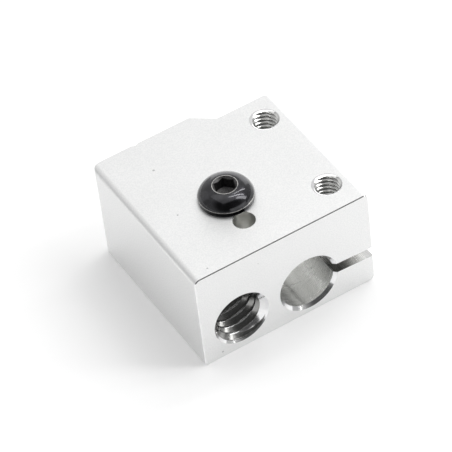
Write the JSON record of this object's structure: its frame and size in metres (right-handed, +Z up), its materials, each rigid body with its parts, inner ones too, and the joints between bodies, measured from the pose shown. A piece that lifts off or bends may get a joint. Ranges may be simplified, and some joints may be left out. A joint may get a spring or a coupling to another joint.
{
  "type": "hotend heater block",
  "caption": "Rectangular aluminium heater block with a long threaded melt bore, a slotted clamp bore for a heater cartridge, and a screw that clamps thermistor leads.",
  "frame": {"origin": "middle of the underside, the large face without the screw", "axes": "+Y along both bores from the nozzle face to the raised heat-break seat, +X towards the slotted side, +Z up through the thickness to the face with the screw"},
  "size_m": [0.02, 0.02, 0.0137],
  "materials": {
    "machined_aluminium": "fine matt machined faces, brighter bore walls",
    "black_oxide_steel": "black oxide, oiled, with bare steel showing on its edges"
  },
  "bodies": {
    "block": {"heater_block": "machined_aluminium"},
    "screw": {"thermistor_screw": "black_oxide_steel"}
  },
  "joints": [
    {"name": "screw_travel", "type": "slide", "parent": "block", "child": "screw", "axis": [0, 0, 1], "range_m": [0, 0.0045]}
  ]
}
